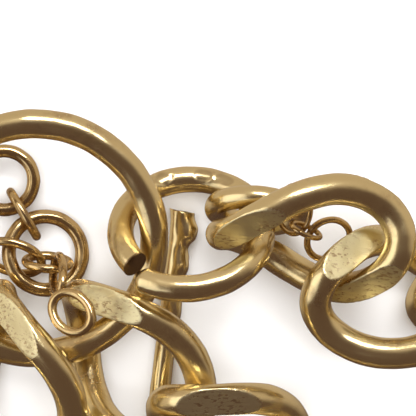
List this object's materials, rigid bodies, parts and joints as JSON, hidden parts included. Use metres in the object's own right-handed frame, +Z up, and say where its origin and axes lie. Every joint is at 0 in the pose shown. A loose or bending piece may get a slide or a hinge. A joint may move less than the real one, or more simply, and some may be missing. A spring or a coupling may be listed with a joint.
{
  "type": "curb chain bracelet",
  "caption": "Heavy antique gold curb chain bracelet laid as a loop, with a large clasp ring, an open connecting ring, a toggle bar and fine chains at the fastening.",
  "frame": {"origin": "middle of the footprint of the laid-out bracelet, on the surface it lies on", "axes": "+X from the clasp ring towards the far bend of the loop, +Y away from the viewer across the loop, +Z up from the surface"},
  "size_m": [0.081, 0.0606, 0.0116],
  "materials": {
    "link_gold": "worn antique yellow gold, polished wire with scratched filed faces",
    "ring_gold": "antique yellow gold, polished with soft wear and brown toning",
    "fine_gold": "antique yellow gold, darker toned thin wire"
  },
  "bodies": {
    "root": {"curb_link_01": "link_gold", "curb_link_02": "link_gold", "curb_link_03": "link_gold", "curb_link_04": "link_gold", "curb_link_05": "link_gold", "curb_link_06": "link_gold", "curb_link_07": "link_gold", "curb_link_08": "link_gold", "curb_link_09": "link_gold", "curb_link_10": "link_gold", "curb_link_11": "link_gold", "curb_link_12": "link_gold", "curb_link_13": "link_gold", "curb_link_14": "link_gold", "curb_link_15": "link_gold", "curb_link_16": "link_gold", "spare_curb_link": "link_gold", "clasp_ring": "ring_gold", "connecting_ring": "ring_gold", "jump_ring": "ring_gold", "toggle_bar": "ring_gold", "small_ring": "fine_gold", "side_ring": "fine_gold", "side_link": "fine_gold", "drop_link_1": "fine_gold", "drop_link_2": "fine_gold", "drop_link_3": "fine_gold", "drop_link_4": "fine_gold", "safety_link_1": "fine_gold", "safety_link_2": "fine_gold", "safety_link_3": "fine_gold"}
  },
  "joints": []
}
